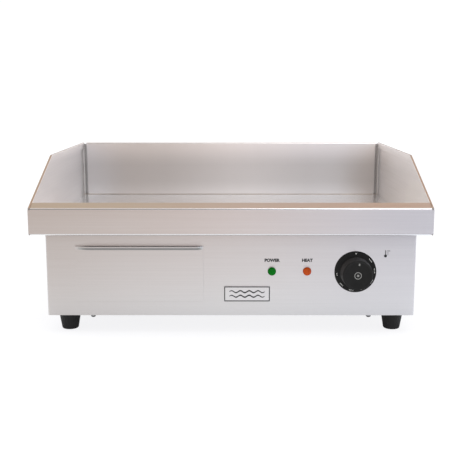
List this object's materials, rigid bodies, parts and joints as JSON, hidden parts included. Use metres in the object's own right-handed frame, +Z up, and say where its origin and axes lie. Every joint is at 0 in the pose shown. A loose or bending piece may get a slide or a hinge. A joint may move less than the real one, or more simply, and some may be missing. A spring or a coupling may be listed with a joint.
{
  "type": "flat top griddle",
  "caption": "Counter-top electric griddle: flat steel plate in a three-sided splash surround, front grease gutter over a slide-out drip drawer, dial thermostat, lamps, rubber feet.",
  "frame": {"origin": "on the supporting surface, below the centre of the 550 x 430 mm footprint", "axes": "+X to the operator's right, +Y to the back (the controls face -Y), +Z up"},
  "size_m": [0.55, 0.43, 0.246],
  "materials": {
    "black_plastic": "satin moulded black thermoset",
    "black_rubber": "moulded black rubber",
    "brass": "turned brass",
    "brushed_stainless": "brushed stainless sheet",
    "capillary_copper": "drawn copper tube and bulb",
    "element_sheath": "heat-tinted tubular sheath",
    "galvanised_steel": "plain zinc-plated steel",
    "green_lens": "translucent green lens",
    "mineral_wool": "compressed mineral wool",
    "orange_lens": "translucent orange lens",
    "polished_plate": "ground and polished steel cooking plate",
    "screw_steel": "zinc-plated fastener",
    "white_insulator": "moulded heat-resistant insulator",
    "wire_insulation": "silicone-sleeved wires"
  },
  "bodies": {
    "griddle_body": {"badge_plate": "brushed_stainless", "base_screw_front_left": "screw_steel", "base_screw_front_right": "screw_steel", "base_screw_rear_left": "screw_steel", "base_screw_rear_right": "screw_steel", "bottom_plate": "brushed_stainless", "cable_gland": "black_plastic", "drawer_runner_left": "galvanised_steel", "drawer_runner_right": "galvanised_steel", "earth_stud": "brass", "element_clamp_front": "galvanised_steel", "element_clamp_rear": "galvanised_steel", "element_clamp_stud_1": "screw_steel", "element_clamp_stud_2": "screw_steel", "element_clamp_stud_3": "screw_steel", "element_clamp_stud_4": "screw_steel", "foot_front_left": "black_rubber", "foot_front_right": "black_rubber", "foot_rear_left": "black_rubber", "foot_rear_right": "black_rubber", "foot_stud_front_left": "screw_steel", "foot_stud_front_right": "screw_steel", "foot_stud_rear_left": "screw_steel", "foot_stud_rear_right": "screw_steel", "front_apron": "brushed_stainless", "front_panel": "brushed_stainless", "grease_gutter": "brushed_stainless", "griddle_plate": "polished_plate", "gutter_drain_spout": "brushed_stainless", "heat_lamp_body": "white_insulator", "heat_lamp_lens": "orange_lens", "heat_shield": "galvanised_steel", "heating_element_left": "element_sheath", "heating_element_right": "element_sheath", "insulation_blanket": "mineral_wool", "overheat_limiter": "black_plastic", "plate_support_frame": "galvanised_steel", "power_cord": "black_rubber", "power_lamp_body": "white_insulator", "power_lamp_lens": "green_lens", "power_plug": "black_rubber", "rear_panel": "brushed_stainless", "rear_panel_screw_1": "screw_steel", "rear_panel_screw_2": "screw_steel", "rear_panel_screw_3": "screw_steel", "rear_panel_screw_4": "screw_steel", "side_panel_left": "brushed_stainless", "side_panel_right": "brushed_stainless", "splash_back": "brushed_stainless", "splash_guard_left": "brushed_stainless", "splash_guard_right": "brushed_stainless", "terminal_block": "white_insulator", "thermostat_body": "white_insulator", "thermostat_bulb": "capillary_copper", "wiring_harness": "wire_insulation"},
    "thermostat_dial": {"thermostat_knob": "black_plastic", "thermostat_shaft": "galvanised_steel"},
    "drip_tray_drawer": {"drip_tray": "brushed_stainless", "drip_tray_front": "brushed_stainless"}
  },
  "joints": [
    {"name": "thermostat_dial_turn", "type": "hinge", "parent": "griddle_body", "child": "thermostat_dial", "pos_m": [0.175, -0.19, 0.0921], "axis": [0, 1, 0], "range_deg": [0, 310]},
    {"name": "drip_tray_pull", "type": "slide", "parent": "griddle_body", "child": "drip_tray_drawer", "axis": [0, -1, 0], "range_m": [0, 0.25]}
  ]
}
